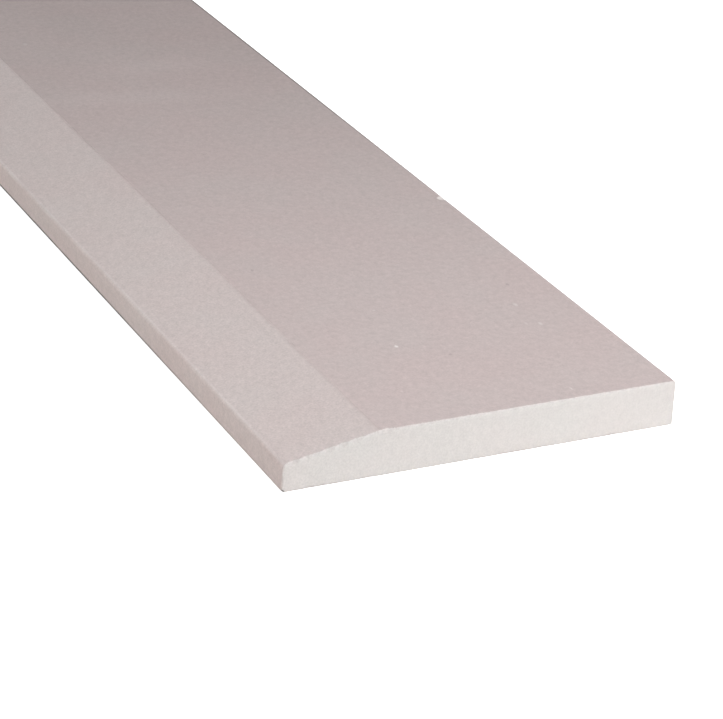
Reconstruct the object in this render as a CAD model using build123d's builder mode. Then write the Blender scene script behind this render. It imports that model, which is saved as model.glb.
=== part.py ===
"""Marble door threshold: one saw-cut slab with a wide ground bevel along its nose edge.

Frame, in millimetres: X runs along the doorway, Y from the bevelled nose to the square back edge,
and Z up from the sawn bed. The origin is on the bed, at the middle of the slab.
"""

import os

from build123d import *

# The slab as it is cut
length = 914.4
width = 139.7
thickness = 15.9

# The bevel, ground down from the polished top to an upright nose
bevel_width = 33.0
nose_height = 9.7
break_radius = 8.0

# The long edges, as they are eased by hand
nose_radius = 1.0
back_radius = 1.0
bed_chamfer = 0.5

nose_y = -width / 2
back_y = width / 2
break_y = nose_y + bevel_width

with BuildPart() as threshold:
    # The section across the doorway, drawn with its corners sharp and extruded from jamb to jamb
    with BuildSketch(Plane.YZ.offset(-length / 2)):
        with BuildLine():
            Polyline(
                (nose_y, 0),
                (nose_y, nose_height),
                (break_y, thickness),
                (back_y, thickness),
                (back_y, 0),
                close=True,
            )
        make_face()
    extrude(amount=length)

    # The bevel runs into the top over a soft line
    top_edges = threshold.edges().filter_by(Axis.X).group_by(Axis.Z)[-1]
    fillet(top_edges.sort_by(Axis.Y)[0], break_radius)

    # The square back edge keeps its shape, with only the arris taken off
    top_edges = threshold.edges().filter_by(Axis.X).group_by(Axis.Z)[-1]
    fillet(top_edges.sort_by(Axis.Y)[-1], back_radius)

    # The nose is eased, where feet and wheels meet it
    nose_edges = threshold.edges().filter_by(Axis.X).group_by(Axis.Y)[0]
    fillet(nose_edges.sort_by(Axis.Z)[-1], nose_radius)

    # The long arrises of the bed are just broken; the ends stay as the saw left them
    bed_edges = threshold.edges().filter_by(Axis.X).group_by(Axis.Z)[0]
    chamfer(bed_edges, bed_chamfer)

threshold.part.label = "threshold_slab"

os.makedirs("parts", exist_ok=True)
export_step(threshold.part, "parts/threshold_slab.step")
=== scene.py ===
"""Looks of the marble threshold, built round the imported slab.

One mesh stands for the slab: its section swept from end to end, with small chips broken out of the sawn
end arrises and a few nicks along the upper edges. One stone covers it in three finishes: the top is
polished, the bevel and the edges are honed, and the ends, the bed and the chips are sawn or broken.
Metres, in the slab's own frame: X along the doorway, Y from the nose to the back, Z up from the bed.
"""

import math
from typing import NamedTuple

import bpy
import numpy as np
from mathutils import Matrix, Vector


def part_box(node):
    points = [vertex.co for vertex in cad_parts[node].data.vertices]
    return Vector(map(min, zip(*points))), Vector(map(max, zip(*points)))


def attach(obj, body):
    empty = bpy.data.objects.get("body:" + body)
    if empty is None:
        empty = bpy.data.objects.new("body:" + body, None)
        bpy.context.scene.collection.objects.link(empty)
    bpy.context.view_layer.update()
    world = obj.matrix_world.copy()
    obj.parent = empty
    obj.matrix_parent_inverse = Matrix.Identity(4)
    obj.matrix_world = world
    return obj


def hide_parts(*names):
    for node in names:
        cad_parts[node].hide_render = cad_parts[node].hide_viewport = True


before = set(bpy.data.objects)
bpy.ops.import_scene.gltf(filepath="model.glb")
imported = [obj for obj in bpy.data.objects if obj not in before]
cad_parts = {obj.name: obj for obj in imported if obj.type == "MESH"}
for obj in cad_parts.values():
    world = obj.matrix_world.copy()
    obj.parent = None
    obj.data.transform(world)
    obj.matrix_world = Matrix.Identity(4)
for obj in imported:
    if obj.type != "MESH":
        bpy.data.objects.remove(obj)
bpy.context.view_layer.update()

MM = 0.001
NODE = "threshold_slab"

# The slab's limits, from the frame
slab_low, slab_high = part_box(NODE)
left_end, nose_y, bed_z = slab_low
right_end, back_y, top_z = slab_high
middle_x = (left_end + right_end) / 2

# The two ends, each named by the way along X from it to the middle
LEFT, RIGHT = 1, -1
ends = {LEFT: left_end, RIGHT: right_end}

# The section's own sizes
BEVEL_WIDTH = 33.0 * MM
NOSE_HEIGHT = 9.7 * MM
BREAK_RADIUS = 8.0 * MM
NOSE_RADIUS = 1.0 * MM
BACK_RADIUS = 1.0 * MM
BED_CHAMFER = 0.5 * MM
nose_top_z = bed_z + NOSE_HEIGHT
break_y = nose_y + BEVEL_WIDTH

# How finely the mesh is cut
CROWDING = 0.6              # how much closer a run's points stand at its two ends than in its middle
END_REACH = 40 * MM         # the stretch at each end that is cut finely, for the chips
END_STEPS = 36
CAP_REACH = 3 * MM          # the rim of each end face that is cut finely
CAP_STEPS = 9
STATION_STEP = 30 * MM      # between cuts along the rest of the slab
NICK_STEPS = 12
NICK_MARGIN = 0.55          # the cuts at a nick go this far each way from its middle, in its lengths
SAME_CUT = 7                # cuts that agree to this many decimals are one
SHARP_ANGLE = math.radians(32)


class Corner(NamedTuple):
    """A corner of the section and the straight run that follows it, going round from the nose's foot."""

    y: float
    z: float
    radius: float
    arc_steps: int          # sides in its rounding; one side is a chamfer
    run_steps: int
    run_chips: float        # reach of the largest chips where the run meets an end
    run_sawn: float         # 1 where the run is left as the saw cut it


corners = [
    Corner(nose_y, bed_z, BED_CHAMFER, 1, 24, 0.18 * MM, 0.0),
    Corner(nose_y, nose_top_z, NOSE_RADIUS, 8, 120, 0.80 * MM, 0.0),
    Corner(break_y, top_z, BREAK_RADIUS, 6, 230, 0.30 * MM, 0.0),
    Corner(back_y, top_z, BACK_RADIUS, 8, 30, 0.10 * MM, 0.0),
    Corner(back_y, bed_z, BED_CHAMFER, 1, 60, 0.20 * MM, 1.0),
]
NOSE_TOP, BREAK, BACK_TOP = 1, 2, 3

# The chips along the end arrises
LONG_CHIP = 5.0 * MM
SHORT_CHIP = 1.3 * MM
SHORT_SHARE = 0.20          # how far the short chips reach, as a share of the long ones
LEAST_CHIP = 0.12           # share of a run's chip reach that is broken away everywhere
CHIP_DROP = 3.0             # how far a chip goes down the end face, in its reaches along the slab
CHIP_HOLLOW = 0.56          # over a half, so that a chip is a little hollow
CHIP_TONE = 0.60            # broken stone's share of the sawn look
CHIP_SEEDS = {LEFT: 3, RIGHT: 17}
SHELL_LENGTHS = 0.5, 1.5    # the least and the most, as shares of a row's own chip length
SHELL_HEIGHTS = 0.15, 1.0   # as shares of the reach of the largest chips

# The largest chip: on the right end, just past the break
BIG_CHIP_PAST_BREAK = 2.0 * MM
BIG_CHIP_LENGTH = 6.5 * MM
BIG_CHIP_REACH = 0.55 * MM


class Knock(NamedTuple):
    """A corner of both ends that is rounded off, where slabs knock against each other."""

    y: float
    z: float
    size: float             # across the section
    length: float           # along the slab
    depth: float
    way: tuple              # inwards; X is towards the middle of the slab


knocks = [
    Knock(nose_y, nose_top_z, 2.8 * MM, 24 * MM, 0.55 * MM, (0.10, 0.80, -0.60)),
    Knock(nose_y, bed_z, 1.0 * MM, 1.2 * MM, 0.30 * MM, (0.50, 0.60, 0.60)),
]


class Nick(NamedTuple):
    """A small piece knocked out of a long edge."""

    x: float
    corner: int             # which of the corners the edge runs along
    length: float
    reach: float
    depth: float


nicks = [
    Nick(right_end - 168 * MM, BACK_TOP, 4.4 * MM, 3.0 * MM, 0.05 * MM),
    Nick(left_end + 301 * MM, NOSE_TOP, 3.8 * MM, 1.6 * MM, 0.25 * MM),
    Nick(left_end + 173 * MM, BACK_TOP, 3.0 * MM, 2.0 * MM, 0.15 * MM),
    Nick(left_end + 64 * MM, NOSE_TOP, 2.6 * MM, 1.3 * MM, 0.20 * MM),
]
NICK_TONE = 0.65            # their share of the sawn look
NICK_RIM = 2.5              # how quickly they come to it, from the rim inwards


def eased_corner(before, corner, after):
    """The points that round a corner, and its way in: the step that takes a point 1 off both runs."""
    at = Vector((corner.y, corner.z))
    back = (Vector((before.y, before.z)) - at).normalized()
    onward = (Vector((after.y, after.z)) - at).normalized()
    half_angle = back.angle(onward) / 2
    way_in = (back + onward).normalized() / math.sin(half_angle)
    centre = at + way_in * corner.radius
    tangent = corner.radius / math.tan(half_angle)
    first_way = (at + back * tangent - centre).normalized()
    last_way = (at + onward * tangent - centre).normalized()
    shares = [step / corner.arc_steps for step in range(corner.arc_steps + 1)]
    arc = [centre + corner.radius * first_way.slerp(last_way, share) for share in shares]
    return arc, way_in


class Section(NamedTuple):
    """The section as one loop of points, with what each point carries."""

    points: np.ndarray      # y and z
    ways_in: np.ndarray     # the step that takes a point inwards, from all the runs alike
    chips: np.ndarray       # reach of the largest chips there
    sawn: np.ndarray        # 1 on the bed
    arris: np.ndarray       # distance round the loop, at each corner's middle
    place: np.ndarray       # distance round the loop, at each point


def make_section():
    """Goes round the corners, rounding each one and cutting the run after it into steps."""
    count = len(corners)
    rounded = [eased_corner(corners[i - 1], corners[i], corners[(i + 1) % count]) for i in range(count)]
    points = []
    chips = []
    sawn = []
    middles = []
    for i, corner in enumerate(corners):
        arc = rounded[i][0]
        before = corners[i - 1]
        for step, point in enumerate(arc):
            share = step / corner.arc_steps
            points.append(point)
            chips.append(before.run_chips * (1 - share) + corner.run_chips * share)
            sawn.append(before.run_sawn * (1 - share) + corner.run_sawn * share)
        middles.append(len(points) - 1 - corner.arc_steps / 2)
        following = rounded[(i + 1) % count][0][0]
        even = np.arange(1, corner.run_steps) / corner.run_steps
        for share in even - CROWDING * np.sin(math.tau * even) / math.tau:
            points.append(arc[-1].lerp(following, share))
            chips.append(corner.run_chips)
            sawn.append(corner.run_sawn)
    points = np.array(points)
    steps = np.linalg.norm(np.roll(points, -1, axis=0) - points, axis=1)
    place = np.concatenate([[0.0], np.cumsum(steps)[:-1]])
    arris = np.interp(middles, np.arange(len(points)), place)
    corner_ways = np.array([way for _, way in rounded])
    around = steps.sum()
    ways_in = np.stack([np.interp(place, arris, axis, period=around) for axis in corner_ways.T], axis=1)
    return Section(points, ways_in, np.array(chips), np.array(sawn), arris, place)


section = make_section()


def shells(length, draws):
    """Shallow shells side by side round the section, each rising from 0 to its own height and back."""
    shortest = SHELL_LENGTHS[0] * length
    count = math.ceil(section.place[-1] / shortest) + 1
    lengths = length * draws.uniform(*SHELL_LENGTHS, count)
    heights = draws.uniform(*SHELL_HEIGHTS, count)
    far_edges = np.cumsum(lengths)
    shell = np.searchsorted(far_edges, section.place, side="right")
    left = (far_edges[shell] - section.place) / lengths[shell]
    return heights[shell] * 4 * left * (1 - left)


def chip_reach(side):
    """How far the chips of one end reach along the slab, at each point of the section."""
    draws = np.random.default_rng(CHIP_SEEDS[side])
    shape = shells(LONG_CHIP, draws) + SHORT_SHARE * shells(SHORT_CHIP, draws)
    reach = section.chips * np.maximum(shape, LEAST_CHIP)
    if side == RIGHT:
        across = (section.place - section.arris[BREAK] - BIG_CHIP_PAST_BREAK) / (BIG_CHIP_LENGTH / 2)
        reach = np.maximum(reach, BIG_CHIP_REACH * (1 - across**2))
    return reach


def chipped(distance, reach, drop):
    """Breaks chips off an arris: each point's new distance from it, its depth, and whether it moved."""
    broken = distance < reach
    share = np.minimum(distance / reach, 1)
    moved = np.where(broken, reach * (CHIP_HOLLOW + (1 - CHIP_HOLLOW) * share), distance)
    depth = np.where(broken, drop * CHIP_HOLLOW * (1 - share), 0)
    return moved, depth, broken


def crowded(reach, steps):
    """Distances from an arris, close together beside it."""
    return reach * (np.arange(steps + 1) / steps) ** 2


def stations():
    """Where the slab is cut across, from the left end to the right one."""
    near_end = crowded(END_REACH, END_STEPS)
    inner_length = right_end - left_end - 2 * END_REACH
    inner = np.linspace(0, inner_length, round(inner_length / STATION_STEP) + 1)[1:-1]
    nick_steps = np.linspace(-NICK_MARGIN, NICK_MARGIN, NICK_STEPS)
    nick_cuts = [nick.x + nick.length * nick_steps for nick in nicks]
    slab_cuts = [left_end + near_end, left_end + END_REACH + inner, right_end - near_end]
    return np.unique(np.concatenate(slab_cuts + nick_cuts).round(SAME_CUT))


class Ring(NamedTuple):
    """A loop of the slab's mesh: each point's X, how far in it lies, and how sawn or broken it looks."""

    x: np.ndarray
    depth: np.ndarray
    sawn: np.ndarray


def make_rings():
    """All the loops in order: over the left end's rim, along the slab and over the right end's rim."""
    reaches = {side: chip_reach(side) for side in ends}
    caps = {LEFT: [], RIGHT: []}
    for side in ends:
        for distance in crowded(CAP_REACH, CAP_STEPS)[1:]:
            depth, along, broken = chipped(distance, CHIP_DROP * reaches[side], reaches[side])
            caps[side].append(Ring(ends[side] + side * along, depth, np.where(broken, CHIP_TONE, 1)))
    along_slab = []
    for x in stations():
        side = LEFT if x < middle_x else RIGHT
        along, depth, broken = chipped(abs(x - ends[side]), reaches[side], CHIP_DROP * reaches[side])
        sawn = np.where(broken, CHIP_TONE, section.sawn)
        along_slab.append(Ring(ends[side] + side * along, depth, sawn))
    return caps[LEFT][::-1] + along_slab + caps[RIGHT]


def ring_points(ring):
    """The places of a ring's points."""
    across = section.points + section.ways_in * ring.depth[:, None]
    return np.column_stack([ring.x, across])


def knock_corners(places):
    """Wears the knocked corners of both ends."""
    for knock in knocks:
        for side, end in ends.items():
            gaps = (places - (end, knock.y, knock.z)) / (knock.length, knock.size, knock.size)
            fade = np.maximum(1 - (gaps**2).sum(axis=1), 0) ** 2
            places += knock.depth * fade[:, None] * knock.way * np.array([side, 1, 1])


def cut_nicks(places, sawn, rows):
    """Scoops the nicks out of the long edges, and marks them as broken stone."""
    place = np.tile(section.place, rows)
    ways = np.tile(section.ways_in, (rows, 1))
    for nick in nicks:
        across = (place - section.arris[nick.corner]) / nick.reach
        along = (places[:, 0] - nick.x) / (nick.length / 2)
        scoop = np.maximum(1 - across**2 - along**2, 0)
        places[:, 1:] += ways * (nick.depth * scoop)[:, None]
        sawn[:] = np.maximum(sawn, NICK_TONE * np.minimum(NICK_RIM * scoop, 1))


def make_slab():
    """The slab as one closed mesh, with a point attribute that says where it is sawn or broken."""
    rings = make_rings()
    rows = len(rings)
    loop = len(section.points)
    places = np.concatenate([ring_points(ring) for ring in rings])
    sawn = np.concatenate([ring.sawn for ring in rings])
    knock_corners(places)
    cut_nicks(places, sawn, rows)

    here = np.arange(rows * loop).reshape(rows, loop)
    beside = np.roll(here, -1, axis=1)
    quads = np.stack([here[:-1], here[1:], beside[1:], beside[:-1]], axis=-1).reshape(-1, 4)
    faces = quads.tolist() + [here[0].tolist(), here[-1][::-1].tolist()]

    mesh = bpy.data.meshes.new("marble_slab")
    mesh.from_pydata(places.tolist(), [], faces)
    mesh.attributes.new("sawn", "FLOAT", "POINT").data.foreach_set("value", sawn.astype(np.float32))
    mesh.shade_smooth()
    mesh.set_sharp_from_angle(angle=SHARP_ANGLE)
    slab = bpy.data.objects.new("marble_slab", mesh)
    bpy.context.scene.collection.objects.link(slab)
    return slab


def add_node(tree, kind, inputs=None, **settings):
    """Adds a node; an input is given a value, or linked if it is another node's output."""
    node = tree.nodes.new(kind)
    for name, value in settings.items():
        setattr(node, name, value)
    for name, value in (inputs or {}).items():
        if isinstance(value, bpy.types.NodeSocket):
            tree.links.new(value, node.inputs[name])
        else:
            node.inputs[name].default_value = value
    return node


def math_node(tree, operation, *values):
    """The result of a sum on one, two or three values."""
    return add_node(tree, "ShaderNodeMath", dict(enumerate(values)), operation=operation).outputs[0]


def vector_node(tree, operation, *vectors):
    """The result of a sum on vectors or colours."""
    inputs = dict(enumerate(vectors))
    return add_node(tree, "ShaderNodeVectorMath", inputs, operation=operation).outputs[0]


def noise_node(tree, place, size, detail=2.0, roughness=0.5):
    """Noise from 0 to 1 whose features are about this size."""
    inputs = {"Vector": place, "Scale": 1 / size, "Detail": detail, "Roughness": roughness}
    return add_node(tree, "ShaderNodeTexNoise", inputs).outputs["Fac"]


def range_node(tree, value, low, high, to_low, to_high, kind="LINEAR"):
    """A value's way from low to high, carried over to another range and held within it."""
    inputs = {"Value": value, "From Min": low, "From Max": high, "To Min": to_low, "To Max": to_high}
    return add_node(tree, "ShaderNodeMapRange", inputs, interpolation_type=kind).outputs["Result"]


def mix_values(tree, share, first, second):
    """A number between two others."""
    inputs = {"Factor": share, 2: first, 3: second}
    return add_node(tree, "ShaderNodeMix", inputs, data_type="FLOAT").outputs[0]


def mix_colours(tree, share, first, second):
    """A colour between two others."""
    inputs = {"Factor": share, 6: first, 7: second}
    return add_node(tree, "ShaderNodeMix", inputs, data_type="RGBA").outputs[2]


def scale_colour(tree, colour, amount):
    """A colour made darker or lighter."""
    inputs = {0: colour, "Scale": amount}
    return add_node(tree, "ShaderNodeVectorMath", inputs, operation="SCALE").outputs[0]


def product(tree, *values):
    """All the values multiplied."""
    result = values[0]
    for value in values[1:]:
        result = math_node(tree, "MULTIPLY", result, value)
    return result


def axes(tree, place):
    """The X, Y and Z of a place."""
    return add_node(tree, "ShaderNodeSeparateXYZ", {0: place}).outputs


# The stone's colours, linear
POLISHED = (0.568, 0.484, 0.474, 1)
HONED = (0.597, 0.524, 0.510, 1)
# The nose face's colour: a darker, warmer copy of the honed colour, painted shade
SHADED_NOSE = (0.582, 0.489, 0.462, 1)
SAWN = (0.790, 0.750, 0.725, 1)
# The next colour is pale freshly broken stone, and also the painted highlight along the nose's rounding
# and the painted sheen of two smears on the top
PALE_TONE = (0.85, 0.82, 0.80, 1)
DARK = (0, 0, 0, 1)
PINKISH = (1.008, 0.994, 0.994, 1)
GREYISH = (0.992, 1.004, 1.003, 1)


class Mark(NamedTuple):
    """A pale scratch or streak, a pale smear of painted sheen or a dark pit in the top, as the photo
    shows it on the right half.
    """

    from_end: float
    from_nose: float
    length: float           # along X
    width: float
    strength: float         # over 0 is paler than the stone, under 0 darker
    turn: float = 0         # clockwise from above, in degrees
    core: float = 0.5       # how much of it, from its middle out, has its full strength


marks = [
    Mark(54.5 * MM, 64.8 * MM, 2.4 * MM, 1.5 * MM, 0.65),
    Mark(71.8 * MM, 118.5 * MM, 3.6 * MM, 1.9 * MM, 0.30),
    Mark(54.9 * MM, 119.1 * MM, 3.2 * MM, 1.6 * MM, 0.32),
    Mark(56.5 * MM, 114.6 * MM, 2.8 * MM, 1.2 * MM, 0.20),
    Mark(6.4 * MM, 104.2 * MM, 2.2 * MM, 0.7 * MM, 0.50),
    Mark(83.3 * MM, 70.4 * MM, 1.6 * MM, 1.1 * MM, 0.25),
    Mark(22.8 * MM, 51.6 * MM, 1.4 * MM, 0.8 * MM, 0.25),
    Mark(381.0 * MM, 49.1 * MM, 4.0 * MM, 2.4 * MM, 0.20),
    # Two broad, faint pale smears on the far stretch: painted sheen on the polish
    Mark(306.0 * MM, 66.0 * MM, 24.0 * MM, 112.0 * MM, 0.08, 13, 0),
    Mark(338.5 * MM, 93.0 * MM, 28.0 * MM, 76.0 * MM, 0.08, 2, 0),
    Mark(128.4 * MM, 44.8 * MM, 2.2 * MM, 1.4 * MM, -0.20),
    Mark(88.0 * MM, 124.0 * MM, 2.4 * MM, 1.6 * MM, -0.18),
    Mark(42.8 * MM, 78.9 * MM, 2.0 * MM, 1.4 * MM, -0.14),
]
FAR_MARKS = 0.86            # on the left half the same marks stand turned about, this much closer
MARK_DEPTH = 1.0 * MM       # how far into the stone a mark goes
FRAYING = 0.9 * MM          # how ragged the marks' outlines are


def mark_places():
    """Each mark with its place, on the right half and turned about on the left."""
    for mark in marks:
        yield mark, Vector((right_end - mark.from_end, nose_y + mark.from_nose, top_z))
        far_x = left_end + FAR_MARKS * mark.from_end
        far_y = back_y - FAR_MARKS * mark.from_nose
        yield mark, Vector((far_x, far_y, top_z))


# The part of a noise's range that is spread out to the full, for clouds and uneven stretches
NOISE_MIDDLE = 0.35, 0.65

# The line along the break where the polish ends
LINE_WAVER = 25 * MM        # how long its unsteady stretches are
LINE_SOFTNESS = 1.1 * MM
LINE_DRIFT = 0.6 * MM       # how far it comes to be from parallel with the nose, away from the right end
line_y = break_y - 1.3 * MM, break_y + 0.1 * MM
drift_x = right_end - 170 * MM, right_end - 50 * MM
polish_z = top_z - 0.3 * MM, top_z - 0.05 * MM


def honed_share(tree, place):
    """1 on the bevel and the edges and 0 on the polished top, with a slightly unsteady line between."""
    at = axes(tree, place)
    line = range_node(tree, noise_node(tree, place, LINE_WAVER, 3), 0, 1, *line_y)
    drift = range_node(tree, at["X"], *drift_x, LINE_DRIFT, 0)
    past_line = math_node(tree, "SUBTRACT", math_node(tree, "ADD", line, drift), at["Y"])
    bevel = range_node(tree, past_line, -LINE_SOFTNESS, LINE_SOFTNESS, 0, 1, "SMOOTHSTEP")
    below_top = range_node(tree, at["Z"], *polish_z, 1, 0)
    return math_node(tree, "MAXIMUM", bevel, below_top)


# The painted shade along the nose's foot, in its right corner and along the back arris: how much light
# it takes, and where it thins out
SHADE_WAVER = 12 * MM        # how long its uneven stretches are
SHADE_NOISE = 0.3, 0.6       # the part of its noise that is spread out
LEAST_SHADE = 0.7            # in its thinnest stretches
FOOT_SHADE = 0.92, 0.16      # along the nose's foot, before it fades towards the right end and after
BACK_SHADE = 0.6, 0          # along the back arris, likewise
CORNER_SHADE = 0.78          # on the right corner of the nose's foot
CORNER_GAP = 0.7 * MM, 1.2 * MM                 # full within the first, gone past the second
foot_z = bed_z + 1.0 * MM, bed_z + 1.4 * MM
foot_y = nose_y + 0.8 * MM, nose_y + 1.2 * MM
foot_x = right_end - 160 * MM, right_end - 40 * MM
arris_z = top_z - 1.3 * MM, top_z - 0.9 * MM
arris_y = back_y - 1.7 * MM, back_y - 1.0 * MM
arris_x = right_end - 300 * MM, right_end - 170 * MM


def painted_shade(tree, place):
    """How much light the painted shade leaves: a painted contact shadow along the nose's foot and in its
    right corner, and painted shade along the back arris.
    """
    at = axes(tree, place)
    uneven = range_node(tree, noise_node(tree, place, SHADE_WAVER, 3), *SHADE_NOISE, LEAST_SHADE, 1)

    # Painted contact shadow along the nose's foot, fading towards the right end
    low = range_node(tree, at["Z"], *foot_z, 1, 0, "SMOOTHSTEP")
    in_front = range_node(tree, at["Y"], *foot_y, 1, 0)
    foot_fade = range_node(tree, at["X"], *foot_x, *FOOT_SHADE)
    foot = product(tree, low, in_front, foot_fade, uneven)

    # Painted shade along the back arris, fading towards the right end
    high = range_node(tree, at["Z"], *arris_z, 0, 1)
    behind = range_node(tree, at["Y"], *arris_y, 0, 1, "SMOOTHSTEP")
    back_fade = range_node(tree, at["X"], *arris_x, *BACK_SHADE)
    back = product(tree, high, behind, back_fade, uneven)

    # Painted shade in the right corner of the nose's foot
    to_corner = {0: place, 1: Vector((right_end, nose_y, bed_z))}
    gap = add_node(tree, "ShaderNodeVectorMath", to_corner, operation="DISTANCE").outputs["Value"]
    corner = range_node(tree, gap, *CORNER_GAP, CORNER_SHADE, 0, "SMOOTHSTEP")
    darkest = math_node(tree, "MAXIMUM", math_node(tree, "MAXIMUM", foot, back), corner)
    return math_node(tree, "SUBTRACT", 1.0, darkest)


# The painted highlight along the rounding on top of the nose
PAINTED_HIGHLIGHT = 0.32
HIGHLIGHT_WAVER = 30 * MM        # how long its uneven stretches are
LEAST_HIGHLIGHT = 0.4            # share of it that is there everywhere
RIGHT_HIGHLIGHT = 0.65           # share of it towards the right end
highlight_z = nose_top_z - 0.9 * MM, nose_top_z - 0.4 * MM
highlight_y = nose_y + 0.9 * MM, nose_y + 1.5 * MM
highlight_x = right_end - 245 * MM, right_end - 230 * MM


def painted_highlight_share(tree, place):
    """How strongly the rounding on top of the nose is painted pale as a highlight, in stretches."""
    at = axes(tree, place)
    upper = range_node(tree, at["Z"], *highlight_z, 0, 1)
    front = range_node(tree, at["Y"], *highlight_y, 1, 0)
    stretches = range_node(tree, noise_node(tree, place, HIGHLIGHT_WAVER, 4), *NOISE_MIDDLE, LEAST_HIGHLIGHT, 1)
    along = range_node(tree, at["X"], *highlight_x, 1, RIGHT_HIGHLIGHT)
    return product(tree, upper, front, stretches, along, PAINTED_HIGHLIGHT)


# The bruised stone below the upper arrises of the ends
BRUISE = 0.5
BRUISE_DROP = 0.5 * MM, 2.0 * MM                # full above the first, gone below the second


def bruised_share(tree, place, sawn):
    """How far the ends turn pale below their upper arrises, where the saw bruised the stone."""
    at = axes(tree, place)
    surface = range_node(tree, at["Y"], nose_y, break_y, nose_top_z, top_z)
    below = math_node(tree, "SUBTRACT", surface, at["Z"])
    return math_node(tree, "MULTIPLY", sawn, range_node(tree, below, *BRUISE_DROP, BRUISE, 0))


def mark_fraying(tree, place):
    """Small shifts that give the marks ragged outlines."""
    inputs = {"Vector": place, "Scale": 1 / FRAYING, "Detail": 2.0}
    ragged = add_node(tree, "ShaderNodeTexNoise", inputs).outputs["Color"]
    centred = vector_node(tree, "SUBTRACT", ragged, (0.5, 0.5, 0.5))
    return vector_node(tree, "MULTIPLY", centred, (FRAYING, FRAYING, 0))


def add_marks(tree, place, colour):
    """Draws the top's marks, and the painted sheen of two smears, over a colour."""
    frayed = vector_node(tree, "ADD", place, mark_fraying(tree, place))
    for mark, at in mark_places():
        turning = {"Vector": frayed, "Center": at, "Angle": math.radians(mark.turn)}
        turned = add_node(tree, "ShaderNodeVectorRotate", turning, rotation_type="Z_AXIS").outputs[0]
        offset = vector_node(tree, "SUBTRACT", turned, at)
        scaled = vector_node(tree, "DIVIDE", offset, (mark.length / 2, mark.width / 2, MARK_DEPTH))
        gap = add_node(tree, "ShaderNodeVectorMath", {0: scaled}, operation="LENGTH").outputs["Value"]
        inside = range_node(tree, gap, mark.core, 1.0, abs(mark.strength), 0, "SMOOTHSTEP")
        colour = mix_colours(tree, inside, colour, PALE_TONE if mark.strength > 0 else DARK)
    return colour


class Finishes(NamedTuple):
    """Where the stone is honed and where it is sawn or broken; elsewhere it is polished."""

    honed: bpy.types.NodeSocket
    sawn: bpy.types.NodeSocket


def by_finish(tree, finishes, polished, honed, sawn):
    """A number that depends on the finish."""
    dressed = mix_values(tree, finishes.honed, polished, honed)
    return mix_values(tree, finishes.sawn, dressed, sawn)


# The faint clouds, and where the nose's darker colour, a painted shade, gives way to the bevel's
CLOUD_SIZE = 30 * MM
nose_colour_y = nose_y + 0.2 * MM, nose_y + 0.8 * MM


def stone_colour(tree, place, finishes):
    """The stone's colour in its finishes, with the nose face's painted shade, the painted highlight
    along the nose's rounding, its marks with two smears of painted sheen, and its faint clouds.
    """
    on_nose = range_node(tree, axes(tree, place)["Y"], *nose_colour_y, 1, 0)
    # The nose face takes a darker copy of the honed colour: painted shade
    dressed = mix_colours(tree, finishes.honed, POLISHED, mix_colours(tree, on_nose, HONED, SHADED_NOSE))
    # Painted highlight along the rounding on top of the nose
    highlighted = mix_colours(tree, painted_highlight_share(tree, place), dressed, PALE_TONE)
    # The marks include two smears of painted sheen
    marked = add_marks(tree, place, highlighted)
    cut = mix_colours(tree, finishes.sawn, marked, SAWN)
    bruised = mix_colours(tree, bruised_share(tree, place, finishes.sawn), cut, PALE_TONE)
    clouds = range_node(tree, noise_node(tree, place, CLOUD_SIZE, 3), *NOISE_MIDDLE, 0, 1)
    return vector_node(tree, "MULTIPLY", bruised, mix_colours(tree, clouds, PINKISH, GREYISH))


# How much the grain, the mottling and the specks vary the brightness of each finish
GRAIN_SIZE = 0.7 * MM
POLISHED_GRAIN = 0.33
HONED_GRAIN = 0.50
SAWN_GRAIN = 0.36, 0.18     # at the nose and at the back
MOTTLE_SIZE = 2.2 * MM
DRESSED_MOTTLE = 0.22       # polished or honed
SAWN_MOTTLE = 0.13
SPECK_GAP = 3.1 * MM        # width of the cells that the specks stand in
SPECK_SIZE = 0.8 * MM
SPECK_CORE = 0.6            # share of a speck's width that has its full strength
SPECKS_KEPT = 0.16          # share of the cells that have a speck
DRESSED_SPECKS = -0.04
SAWN_SPECKS = -0.12


def speck_share(tree, place):
    """1 on small scattered specks."""
    cells = add_node(tree, "ShaderNodeTexVoronoi", {"Vector": place, "Scale": 1 / SPECK_GAP})
    radius = SPECK_SIZE / 2 / SPECK_GAP
    spot = range_node(tree, cells.outputs["Distance"], SPECK_CORE * radius, radius, 1, 0)
    chance = add_node(tree, "ShaderNodeSeparateColor", {0: cells.outputs["Color"]})
    chosen = math_node(tree, "LESS_THAN", chance.outputs["Red"], SPECKS_KEPT)
    return math_node(tree, "MULTIPLY", spot, chosen)


def varied(tree, noise, depth):
    """A brightness that goes up and down from 1 with a noise."""
    return math_node(tree, "MULTIPLY_ADD", math_node(tree, "SUBTRACT", noise, 0.5), depth, 1.0)


def stone_brightness(tree, place, finishes, fine):
    """How the grain, the mottling and the specks vary the stone's brightness, with the painted shade
    along the nose's foot and the back arris.
    """
    sawn_grain = range_node(tree, axes(tree, place)["Y"], nose_y, back_y, *SAWN_GRAIN)
    grain = varied(tree, fine, by_finish(tree, finishes, POLISHED_GRAIN, HONED_GRAIN, sawn_grain))
    mottle_depth = mix_values(tree, finishes.sawn, DRESSED_MOTTLE, SAWN_MOTTLE)
    mottle = varied(tree, noise_node(tree, place, MOTTLE_SIZE), mottle_depth)
    speck_depth = mix_values(tree, finishes.sawn, DRESSED_SPECKS, SAWN_SPECKS)
    speckle = math_node(tree, "MULTIPLY_ADD", speck_share(tree, place), speck_depth, 1.0)
    # The last factor is the painted shade
    return product(tree, grain, mottle, speckle, painted_shade(tree, place))


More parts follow.
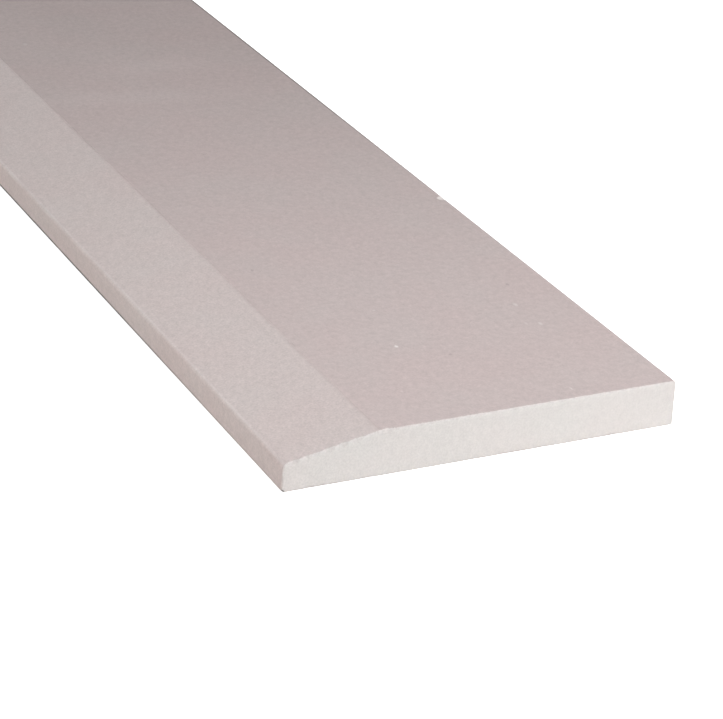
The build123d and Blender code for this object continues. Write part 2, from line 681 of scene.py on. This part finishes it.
# How rough each finish is; the polish goes from clear to hazy
HAZE_SIZE = 28 * MM
HAZE_STRETCH = (0.5, 1, 1)  # drawn out along the slab
HAZE_NOISE = 0.2, 0.8       # the part of its noise that is spread out
POLISHED_ROUGHNESS = 0.15, 0.265
HONED_ROUGHNESS = 0.62
SAWN_ROUGHNESS = 0.85


def stone_roughness(tree, place, finishes):
    """How rough the stone is, with a polish that is a little hazy in places."""
    stretched = vector_node(tree, "MULTIPLY", place, HAZE_STRETCH)
    haze = noise_node(tree, stretched, HAZE_SIZE, 1)
    polish = range_node(tree, haze, *HAZE_NOISE, *POLISHED_ROUGHNESS, "SMOOTHSTEP")
    return by_finish(tree, finishes, polish, HONED_ROUGHNESS, SAWN_ROUGHNESS)


# How deep the grain's relief is in each finish
POLISHED_RELIEF = 0.001 * MM
HONED_RELIEF = 0.012 * MM
SAWN_RELIEF = 0.035 * MM


def stone_relief(tree, finishes, fine):
    """The way the surface faces, with the grain's fine relief."""
    depth = by_finish(tree, finishes, POLISHED_RELIEF, HONED_RELIEF, SAWN_RELIEF)
    height = math_node(tree, "MULTIPLY", fine, depth)
    return add_node(tree, "ShaderNodeBump", {"Height": height, "Distance": 1.0}).outputs["Normal"]


def marble():
    """Fine-grained pinkish grey marble in its three finishes."""
    material = bpy.data.materials.new("marble")
    material.use_nodes = True
    tree = material.node_tree
    place = add_node(tree, "ShaderNodeTexCoord").outputs["Object"]
    sawn = add_node(tree, "ShaderNodeAttribute", attribute_name="sawn").outputs["Fac"]
    finishes = Finishes(honed_share(tree, place), sawn)
    fine = noise_node(tree, place, GRAIN_SIZE, detail=3, roughness=0.6)
    colour = stone_colour(tree, place, finishes)
    brightness = stone_brightness(tree, place, finishes, fine)

    shader = tree.nodes["Principled BSDF"]
    tree.links.new(scale_colour(tree, colour, brightness), shader.inputs["Base Color"])
    tree.links.new(stone_roughness(tree, place, finishes), shader.inputs["Roughness"])
    tree.links.new(stone_relief(tree, finishes, fine), shader.inputs["Normal"])
    return material


# The camera, fitted to the straight edges of the photo
AZIMUTH = math.radians(63.5998)
ELEVATION = math.radians(24.9367)
ROLL = math.radians(-2.9054)
LENS_MM = 142.563
SENSOR_MM = 36
AIM = Vector((right_end - 49.1 * MM, nose_y + 49.55 * MM, top_z))
AIM_DISTANCE = 934.8 * MM


def make_camera():
    """The photo's view: from beyond the right end, on the nose's side, looking down the slab."""
    level = math.cos(ELEVATION)
    back = Vector((math.sin(AZIMUTH) * level, -math.cos(AZIMUTH) * level, math.sin(ELEVATION)))
    side = (-back).cross(Vector((0, 0, 1))).normalized()
    upright = back.cross(side)
    up = upright * math.cos(ROLL) + side * math.sin(ROLL)
    right = up.cross(back)
    data = bpy.data.cameras.new("camera")
    data.lens = LENS_MM
    data.sensor_width = SENSOR_MM
    camera = bpy.data.objects.new("camera", data)
    turn = Matrix((right, up, back)).transposed().to_4x4()
    camera.matrix_world = Matrix.Translation(AIM + back * AIM_DISTANCE) @ turn
    bpy.context.scene.collection.objects.link(camera)
    bpy.context.scene.camera = camera


def make_sheet(name, points, material):
    """A flat sheet with four corners."""
    mesh = bpy.data.meshes.new(name)
    mesh.from_pydata(points, [], [(0, 1, 2, 3)])
    mesh.materials.append(material)
    sheet = bpy.data.objects.new(name, mesh)
    bpy.context.scene.collection.objects.link(sheet)
    return sheet


# The floor
FLOOR_SIZE = 60
FLOOR_GAP = 0.05 * MM
FLOOR_COLOUR = (0.85, 0.85, 0.85, 1)
FLOOR_GLOW = 0.8            # seen and mirrored only; it lights nothing matt


def floor_material():
    """A pale floor that shows as white where nothing shades it."""
    material = bpy.data.materials.new("floor")
    material.use_nodes = True
    tree = material.node_tree
    tree.nodes.remove(tree.nodes["Principled BSDF"])
    rays = add_node(tree, "ShaderNodeLightPath").outputs
    mirrored = math_node(tree, "MAXIMUM", rays["Is Glossy Ray"], rays["Is Transmission Ray"])
    seen = math_node(tree, "MAXIMUM", rays["Is Camera Ray"], mirrored)
    strength = math_node(tree, "MULTIPLY", seen, FLOOR_GLOW)
    glow = add_node(tree, "ShaderNodeEmission", {"Strength": strength})
    matt = add_node(tree, "ShaderNodeBsdfDiffuse", {"Color": FLOOR_COLOUR})
    both = add_node(tree, "ShaderNodeAddShader", {0: matt.outputs[0], 1: glow.outputs[0]})
    tree.links.new(both.outputs[0], tree.nodes["Material Output"].inputs["Surface"])
    return material


def make_floor():
    """The plain floor that the slab lies on."""
    half = FLOOR_SIZE / 2
    level = bed_z - FLOOR_GAP
    points = [(-half, -half, level), (half, -half, level), (half, half, level), (-half, half, level)]
    return make_sheet("floor", points, floor_material())


# The dark card past the left end
CARD_X = left_end - 1.30
CARD_FROM = -0.10
CARD_TO = 1.50
CARD_HEIGHT = 0.68
CARD_COLOUR = (0.02, 0.02, 0.02, 1)


def card_material():
    """Black card."""
    material = bpy.data.materials.new("card")
    material.use_nodes = True
    shader = material.node_tree.nodes["Principled BSDF"]
    shader.inputs["Base Color"].default_value = CARD_COLOUR
    return material


def make_card():
    """A dark card that is there only for the polished top to mirror along its far stretch."""
    foot = [(CARD_X, CARD_FROM, 0), (CARD_X, CARD_TO, 0)]
    head = [(CARD_X, CARD_TO, CARD_HEIGHT), (CARD_X, CARD_FROM, CARD_HEIGHT)]
    card = make_sheet("card", foot + head, card_material())
    card.visible_camera = False
    card.visible_diffuse = False
    card.visible_shadow = False
    return card


# The sky
SKY_STRENGTH = 0.2
SKY_COLOUR = (1, 1, 1, 1)


def make_world():
    """A soft studio dome."""
    world = bpy.data.worlds.new("studio")
    bpy.context.scene.world = world
    world.use_nodes = True
    sky = world.node_tree.nodes["Background"]
    sky.inputs["Color"].default_value = SKY_COLOUR
    sky.inputs["Strength"].default_value = SKY_STRENGTH


class SoftBox(NamedTuple):
    """A square studio lamp."""

    name: str
    place: tuple
    aim: tuple
    size: float
    spread: float           # the beam's full angle, in degrees
    power: float            # in watts


soft_boxes = [
    SoftBox("over_right_end", (right_end + 0.16, 0, 0.80), (right_end + 0.06, 0, 0), 0.6, 90, 1.34),
    SoftBox("over_left_end", (left_end - 0.45, 0, 0.55), (left_end, 0, 0), 0.5, 44, 0.55),
    SoftBox("beside_right_end", (right_end + 0.36, 0.54, 0.18), (right_end, 0.05, 0), 0.3, 60, 0.276),
    SoftBox("before_nose", (0.30, -1.20, 0.80), (0.25, 0, 0), 1.0, 180, 6.2),
    SoftBox("behind_back", (0, 1.30, 0.60), (0, 0, 0), 1.0, 180, 6.05),
]


def hang(box):
    """Puts up a soft box."""
    data = bpy.data.lights.new(box.name, "AREA")
    data.size = box.size
    data.spread = math.radians(box.spread)
    data.energy = box.power
    lamp = bpy.data.objects.new(box.name, data)
    lamp.location = box.place
    lamp.rotation_euler = (Vector(box.aim) - Vector(box.place)).to_track_quat("-Z", "Y").to_euler()
    bpy.context.scene.collection.objects.link(lamp)


slab = make_slab()
slab.data.materials.append(marble())
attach(slab, "root")
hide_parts(NODE)

make_camera()
make_floor()
make_card()
make_world()
for box in soft_boxes:
    hang(box)

bpy.context.scene.view_settings.view_transform = "Standard"
